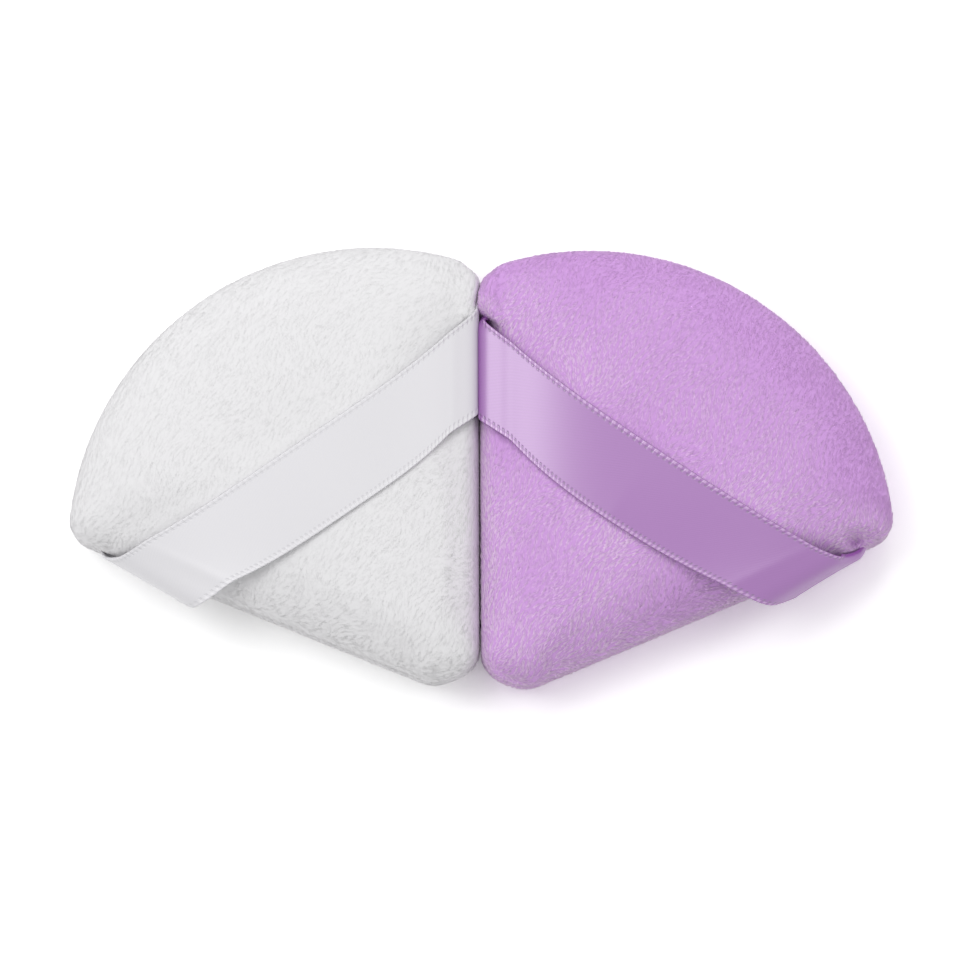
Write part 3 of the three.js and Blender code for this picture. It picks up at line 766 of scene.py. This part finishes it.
def ribbon_half(strap, outer_side, end):
    """The ribbon's middle surface from one sewn end to its middle, one row of points across its width for each
    station: in from the seam, up the quarter round, over the rim at a slack off the pile, then over the crown,
    where the slack dies out with the square of the way left. The side slants under the straight ribbon, so on its
    way down it drifts towards the arc by the side's sine times the way gone plus the way gained inwards. Low on
    the rim it is also gathered and spread. x follows from the inset off the straight side."""
    fit = strap["outer" if end == outer_side else "inner"]
    slack, stand, gather = (np.interp(ACROSS, [0, 1], fit[kind]) for kind in ("slack", "stand", "gather"))
    rest = RIBBON_REST + slack[None, :]
    tuck = SEAM_DEPTH + np.linspace(RIBBON_TUCK, 0, TUCK_ROWS, endpoint=False)[:, None]
    up = np.linspace(math.pi / 2, 0, ROUND_ROWS, endpoint=False)[:, None]
    over = np.linspace(0, TOP_FACE["sweep"], RIM_ROWS, endpoint=False)[:, None]
    part = np.linspace(0, 1, CROWN_ROWS)[:, None]
    flat = np.zeros((1, len(ACROSS)))
    edge_inset, edge_height = rim_round(TOP_FACE, 0, TOP_FACE["sweep"])
    start_inset, _ = rim_round(TOP_FACE, -rest, TOP_FACE["sweep"])
    stand = stand * np.exp(-(((np.degrees(over) - STAND_ANGLE) / STAND_SPREAD) ** 2))
    rim_inset, rim_height = rim_round(TOP_FACE, -rest - stand, over)
    inset = np.concatenate([tuck + flat, SEAM_DEPTH - (SEAM_DEPTH + rest) * np.cos(up), rim_inset])
    height = np.concatenate([0 * tuck + flat, ROLL_HEIGHT * (1 - np.sin(up)) + flat, rim_height])
    last_tuck = TUCK_ROWS - 1
    inward = -np.diff(inset[last_tuck:], axis=0)
    gone = np.hypot(inward, np.diff(height[last_tuck:], axis=0))
    drift = math.sin(HALF_ANGLE) * np.cumsum((gone + inward)[::-1], axis=0)[::-1]
    drift = np.concatenate([np.repeat(drift[:1], last_tuck, 0), drift, flat, flat + 0 * part])
    way = np.concatenate([np.zeros((len(inset), 1)), part])
    left = (1 - way) ** 2
    low = (1 - over / TOP_FACE["sweep"]) ** LOW_POWER
    low = np.concatenate([np.ones((TUCK_ROWS + ROUND_ROWS, 1)), low, 0 * part])
    y = RIBBON_STATION + (ACROSS - 0.5) * RIBBON_WIDTH - strap["bow"] * (1 - left) + drift
    y = y + fit["slip"] * left ** 2 + (fit["spread"] * ACROSS ** SPREAD_POWER + gather) * low
    crown_inset = start_inset + (y[-CROWN_ROWS:] * math.sin(HALF_ANGLE) - start_inset) * part
    share = np.maximum(0, 1 - crown_inset / SIDE_REACH) / (1 - edge_inset / SIDE_REACH)
    fall = TOP_FACE["crown"] * (1 - share ** CROWN_FULLNESS)
    crown_height = edge_height + RIBBON_REST + slack * left[-CROWN_ROWS:] + fall
    inset = np.concatenate([inset, crown_inset])
    height = np.concatenate([height, crown_height])
    x = end * (y * math.tan(HALF_ANGLE) - inset / math.cos(HALF_ANGLE))
    rows = np.stack([x, y, SEAM_HEIGHT + height], axis=-1)
    rolled = 1 / (1 + np.exp((np.degrees(over[:, 0]) - CURL_ANGLE) / CURL_FADE))
    tight = np.concatenate([np.linspace(0, 1, TUCK_ROWS), np.ones(ROUND_ROWS), rolled, np.zeros(CROWN_ROWS)])
    return curled(rows, strap["curl"], tight, end)


def curled(rows, curl, tight, end):
    """Rows of ribbon with a strip along the upper edge curled in towards the puff: along the strip the cloth turns
    by an angle that grows with the way and its square, times how tight the row is curled, so each point is the
    running sum of steps in that direction from where the strip starts."""
    start = int(np.searchsorted(ACROSS, 1 - curl / RIBBON_WIDTH))
    over = rows[:, -1] - rows[:, start]
    over /= np.linalg.norm(over, axis=1, keepdims=True)
    normal = -end * np.cross(np.gradient(rows[:, start], axis=0), over)
    normal /= np.linalg.norm(normal, axis=1, keepdims=True)
    way = (ACROSS[start:] - ACROSS[start]) * RIBBON_WIDTH
    gone = way / way[-1]
    angle = tight[:, None] * CURL_TURN * (CURL_EVEN * gone + (1 - CURL_EVEN) * gone ** 2)
    middle = 0.5 * (angle[:, 1:] + angle[:, :-1])
    ahead = np.cumsum(np.cos(middle) * np.diff(way), axis=1)
    inward = np.cumsum(np.sin(middle) * np.diff(way), axis=1)
    made = rows.copy()
    strip = ahead[..., None] * over[:, None] - inward[..., None] * normal[:, None]
    made[:, start + 1:] = rows[:, start, None] + strip
    return made


def ramp(tree, value, start, stop):
    """Smooth step of a value from 0 at start to 1 at stop."""
    node = add_node(tree, "ShaderNodeMapRange", interpolation_type="SMOOTHSTEP", Value=value)
    node.inputs["From Min"].default_value = min(start, stop)
    node.inputs["From Max"].default_value = max(start, stop)
    node.inputs["To Min"].default_value = float(start > stop)
    node.inputs["To Max"].default_value = float(start < stop)
    return node.outputs["Result"]


# The satin's drawing: slant of its floats; how far in from the edge its loops and gaps lie, in millimetres; where
# they fade across the ribbon, in millimetres from there, and along it, as shares of a pitch from the middle of
# each turn; how much the floats count in the relief
FLOAT_SLANT = math.radians(63)
LOOP_INSET, LOOP_WIDTH, LOOP_LENGTH = 0.28, (0.34, 0.16), (0.36, 0.16)
GAP_INSET, GAP_WIDTH, GAP_LENGTH = 0.74, (0.26, 0.1), (0.22, 0.4)
FLOAT_RELIEF = 0.12


def satin_group():
    """Masks of satin ribbon from its own map in millimetres. Floats: fine slanted rows, as a satin weave sets its
    binding points. Loops: along each edge the selvedge's bright turns of weft, where the colour is a painted
    highlight. Gaps: the dark spaces between them, one step further in, where the colour is painted shade. Height:
    the three together."""
    group = bpy.data.node_groups.new("satin weave", "ShaderNodeTree")
    for label in ("Floats", "Loops", "Gaps", "Height"):
        group.interface.new_socket(label, in_out="OUTPUT", socket_type="NodeSocketFloat")
    result = group.nodes.new("NodeGroupOutput").inputs
    where = add_node(group, "ShaderNodeUVMap", uv_map="weave").outputs["UV"]
    split = add_node(group, "ShaderNodeSeparateXYZ", Vector=where).outputs
    turned = add_node(group, "ShaderNodeMapping", Vector=where)
    turned.inputs["Rotation"].default_value = (0, 0, FLOAT_SLANT)
    rows = add_node(group, "ShaderNodeTexWave", Vector=turned.outputs["Vector"], Scale=0.9, Distortion=0.6)
    grain = add_node(group, "ShaderNodeTexNoise", Vector=where, Scale=3.5, Detail=2.0)
    grain_half = reckon(group, "MULTIPLY", grain.outputs["Fac"], 0.5)
    floats = reckon(group, "MULTIPLY_ADD", rows.outputs["Fac"], 0.5, grain_half)
    step = reckon(group, "FRACT", reckon(group, "DIVIDE", split["X"], SELVEDGE_PITCH))
    beside = reckon(group, "ABSOLUTE", reckon(group, "SUBTRACT", step, 0.5))
    edge = reckon(group, "MINIMUM", split["Y"], reckon(group, "SUBTRACT", RIBBON_WIDTH, split["Y"]))
    on_loop = ramp(group, reckon(group, "ABSOLUTE", reckon(group, "SUBTRACT", edge, LOOP_INSET)), *LOOP_WIDTH)
    on_gap = ramp(group, reckon(group, "ABSOLUTE", reckon(group, "SUBTRACT", edge, GAP_INSET)), *GAP_WIDTH)
    loops = reckon(group, "MULTIPLY", on_loop, ramp(group, beside, *LOOP_LENGTH))
    gaps = reckon(group, "MULTIPLY", on_gap, ramp(group, beside, *GAP_LENGTH))
    relief = reckon(group, "SUBTRACT", loops, gaps)
    group.links.new(floats, result["Floats"])
    group.links.new(loops, result["Loops"])
    group.links.new(gaps, result["Gaps"])
    group.links.new(reckon(group, "MULTIPLY_ADD", floats, FLOAT_RELIEF, relief), result["Height"])
    return group


SATIN_GROUP = satin_group()

for name, strap in STRAPS.items():
    material, tree, shader = new_material(
        f"{name} satin", Roughness=0.38, IOR=strap["ior"], Specular_IOR_Level=1.0, Sheen_Weight=0.1
    )
    weave = add_node(tree, "ShaderNodeGroup", node_tree=SATIN_GROUP).outputs
    floats, gap_shade, loop_highlight = strap["colours"]
    between = [*(strap["shade"] * np.array(floats[:3])), 1]
    colour = toned(tree, weave["Floats"], (0.2, between), (0.7, floats))
    # The loops' colour is a painted highlight and the gaps' colour painted shade; the same masks also raise and
    # sink the relief
    for mask, paint in ((weave["Loops"], loop_highlight), (weave["Gaps"], gap_shade)):
        colour = mixed(tree, mask, colour, paint)
    bump = add_node(tree, "ShaderNodeBump", Height=weave["Height"], Strength=0.5, Distance=0.00012)
    tree.links.new(colour, shader.inputs["Base Color"])
    tree.links.new(bump.outputs["Normal"], shader.inputs["Normal"])

    puff = PUFFS[name]
    first = ribbon_half(strap, puff["side"], -1)
    second = ribbon_half(strap, puff["side"], 1)[-2::-1]
    rows = eased(np.concatenate([first, second]), RIBBON_PASSES)
    normal = np.cross(np.gradient(rows, axis=0), np.gradient(rows, axis=1))
    normal /= np.linalg.norm(normal, axis=2, keepdims=True)
    steps = np.linalg.norm(np.diff(rows[:, MIDDLE_PLACE], axis=0), axis=1)
    travel = np.concatenate([[0], np.cumsum(steps)])
    from_edge = np.minimum(ACROSS, 1 - ACROSS) * RIBBON_WIDTH
    turns = np.cos(2 * math.pi * travel / SELVEDGE_PITCH)[:, None]
    half = RIBBON_THICKNESS / 2
    for inset, spread, height, swell in SELVEDGE_CORDS:
        half = half + np.exp(-((from_edge - inset) / spread) ** 2) * (height + swell * turns)
    upper, lower = rows + half[..., None] * normal, rows - half[..., None] * normal
    around = np.concatenate([upper, lower[:, ::-1]], axis=1)
    columns = around.shape[1]
    here = np.arange(len(ACROSS) - 1)
    start_cap = np.stack([here, here + 1, columns - 2 - here, columns - 1 - here], axis=1)
    end_cap = (len(rows) - 1) * columns + start_cap[:, ::-1]
    faces = [np.concatenate([grid_quads(len(rows), columns), start_cap, end_cap])]
    piece = new_piece(f"{name}_ribbon", lay(around.reshape(-1, 3), puff), faces, material)
    mesh = piece.data
    corner = np.empty(len(mesh.loops), dtype=np.int32)
    mesh.loops.foreach_get("vertex_index", corner)
    row, column = np.divmod(corner, columns)
    width = np.concatenate([ACROSS, ACROSS[::-1]]) * RIBBON_WIDTH
    uv = np.stack([travel[row], width[column]], axis=1).astype(np.float32)
    mesh.uv_layers.new(name="weave").data.foreach_set("uv", uv.ravel())
    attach(piece, "root")
    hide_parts(f"{name}_ribbon_strap")


# Seam threads
# One running stitch of three-ply sewing thread goes round each puff inside the seam.
# It passes up and down through both turned-in edges and through the ribbon's ends.

THREAD_RADIUS = 0.2
STITCH_HEIGHT = 1.85
STITCH_INSET = 3.0
STITCH_LENGTH = 4.5
STITCH_SQUARENESS = 6
SEAM_SAMPLES = 2000
PLY_TURN = 1.6  # millimetres of thread to one turn of its plies
PLY_RELIEF = 0.22  # of the radius
LONG_STEP = 5  # points each way along the path that give the way outwards


def stitch_path(samples):
    """The thread's middle line: the seam ring at even steps, raised and lowered between the two outer sides of the
    seam by a squared-off sine of half a stitch each way."""
    ring = fan_rings(SEAM_SAMPLES, STITCH_INSET, 0.0)[0]
    closed = np.concatenate([ring, ring[:1]])
    travel = np.concatenate([[0], np.cumsum(np.linalg.norm(np.diff(closed, axis=0), axis=1))])
    stitches = 2 * round(travel[-1] / (2 * STITCH_LENGTH))
    way = np.linspace(0, travel[-1], stitches * samples, endpoint=False)
    x, y = np.interp(way, travel, closed[:, 0]), np.interp(way, travel, closed[:, 1])
    wave = np.sin(way / travel[-1] * math.pi * stitches)
    return np.stack([x, y, SEAM_HEIGHT + STITCH_HEIGHT * np.tanh(STITCH_SQUARENESS * wave)], axis=1)


def twisted_tube(path, sides):
    """A closed tube round a closed path: at each point a circle across the path whose radius swells three times
    round, and these three plies turn steadily along the thread."""
    ahead = np.roll(path, -1, axis=0) - np.roll(path, 1, axis=0)
    ahead /= np.linalg.norm(ahead, axis=1, keepdims=True)
    outward = np.cross(np.roll(path, -LONG_STEP, axis=0) - np.roll(path, LONG_STEP, axis=0), [0, 0, 1])
    outward[:, 2] = 0
    outward /= np.linalg.norm(outward, axis=1, keepdims=True)
    across = np.cross(ahead, outward)
    travel = np.cumsum(np.linalg.norm(np.diff(path, axis=0, prepend=path[-1:]), axis=1))
    turns = round(travel[-1] / PLY_TURN)
    angle = np.linspace(0, 2 * math.pi, sides, endpoint=False)
    twist = (travel / travel[-1] * turns * 2 * math.pi)[:, None]
    plies = np.abs(np.cos(1.5 * (angle - twist / 3)))
    radius = THREAD_RADIUS * (1 - PLY_RELIEF + PLY_RELIEF * plies)
    return path[:, None] + radius[..., None] * (
        np.cos(angle)[None, :, None] * outward[:, None] + np.sin(angle)[None, :, None] * across[:, None]
    )


for name, puff in PUFFS.items():
    material, tree, shader = new_material(f"{name} thread", Roughness=0.55, Sheen_Weight=0.15)
    place = add_node(tree, "ShaderNodeTexCoord").outputs["Object"]
    fibre = add_node(tree, "ShaderNodeTexNoise", Vector=place, Scale=9000.0, Detail=2.0)
    _, light, dark = VELOUR_COLOURS[name]
    tree.links.new(toned(tree, fibre.outputs["Fac"], (0, dark), (1, light)), shader.inputs["Base Color"])
    tube = twisted_tube(stitch_path(samples=24), sides=12)
    rows, columns = tube.shape[:2]
    closed = grid_quads(rows + 1, columns) % (rows * columns)
    piece = new_piece(f"{name}_thread", lay(tube.reshape(-1, 3), puff), [closed], material)
    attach(piece, "root")
    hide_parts(f"{name}_seam_thread")


# Table, light and camera
# A plain white table in an even bright room, with soft lamps from behind, from the left and, weaker, the right.

FRAME_WIDTH = 0.1455  # width of the table that the picture takes in
SENSOR_WIDTH = 36
CAMERA_DISTANCE = 0.7
CAMERA_ELEVATION = math.radians(82)
CAMERA_AIM = (0.0, -0.0022, 0.008)
TABLE_SIZE = 0.9
ROOM_LIGHT = 0.61
TABLE_LIFT = 0.36  # how much whiter the table is in the picture than in the light that it gives back


def direct_ray(tree):
    """1 for a ray from the camera or from a mirroring or clear surface, 0 for one that gathers light."""
    ray = add_node(tree, "ShaderNodeLightPath").outputs
    mirrored = reckon(tree, "MAXIMUM", ray["Is Glossy Ray"], ray["Is Transmission Ray"])
    return reckon(tree, "MAXIMUM", ray["Is Camera Ray"], mirrored)


material, tree, shader = new_material("white table", Roughness=0.9, Specular_IOR_Level=0.0)
shader.inputs["Base Color"].default_value = (0.97, 0.97, 0.97, 1)
lift = add_node(tree, "ShaderNodeBsdfDiffuse", Color=reckon(tree, "MULTIPLY", direct_ray(tree), TABLE_LIFT))
both = add_node(tree, "ShaderNodeAddShader")
tree.links.new(shader.outputs[0], both.inputs[0])
tree.links.new(lift.outputs[0], both.inputs[1])
tree.links.new(both.outputs[0], tree.nodes["Material Output"].inputs["Surface"])
corners = np.array([[-1, -1, 0], [1, -1, 0], [1, 1, 0], [-1, 1, 0]]) * TABLE_SIZE / 2
table = new_piece("table", corners, [np.array([[0, 1, 2, 3]])], material)

world = bpy.data.worlds.new("bright room")
scene.world = world
world.use_nodes = True
tree = world.node_tree
backdrop = tree.nodes["Background"]
strength = add_node(tree, "ShaderNodeMapRange", Value=direct_ray(tree))
strength.inputs["To Min"].default_value = ROOM_LIGHT
strength.inputs["To Max"].default_value = 1.0
backdrop.inputs["Color"].default_value = (1, 1, 1, 1)
tree.links.new(strength.outputs["Result"], backdrop.inputs["Strength"])


def soft_lamp(name, place, size, power):
    """A square lamp at a place in metres, turned towards the origin."""
    lamp = bpy.data.lights.new(name, "AREA")
    lamp.size = size
    lamp.energy = power
    holder = bpy.data.objects.new(name, lamp)
    scene.collection.objects.link(holder)
    x, y, z = place
    holder.location = place
    holder.rotation_euler = (math.acos(z / np.linalg.norm(place)), 0, math.atan2(-y, -x) - math.pi / 2)


soft_lamp("window", (-0.02, 0.62, 0.78), size=0.6, power=1.4)
soft_lamp("left window", (-0.50, 0.20, 0.84), size=0.45, power=2.35)
soft_lamp("right window", (0.50, 0.20, 0.84), size=0.45, power=0.9)

lens = bpy.data.cameras.new("camera")
lens.sensor_width = SENSOR_WIDTH
lens.lens = SENSOR_WIDTH * CAMERA_DISTANCE / FRAME_WIDTH
camera = bpy.data.objects.new("camera", lens)
scene.collection.objects.link(camera)
camera.location = (
    CAMERA_AIM[0],
    CAMERA_AIM[1] - CAMERA_DISTANCE * math.cos(CAMERA_ELEVATION),
    CAMERA_AIM[2] + CAMERA_DISTANCE * math.sin(CAMERA_ELEVATION),
)
camera.rotation_euler = (math.pi / 2 - CAMERA_ELEVATION, 0, 0)
scene.camera = camera
scene.view_settings.view_transform = "Standard"
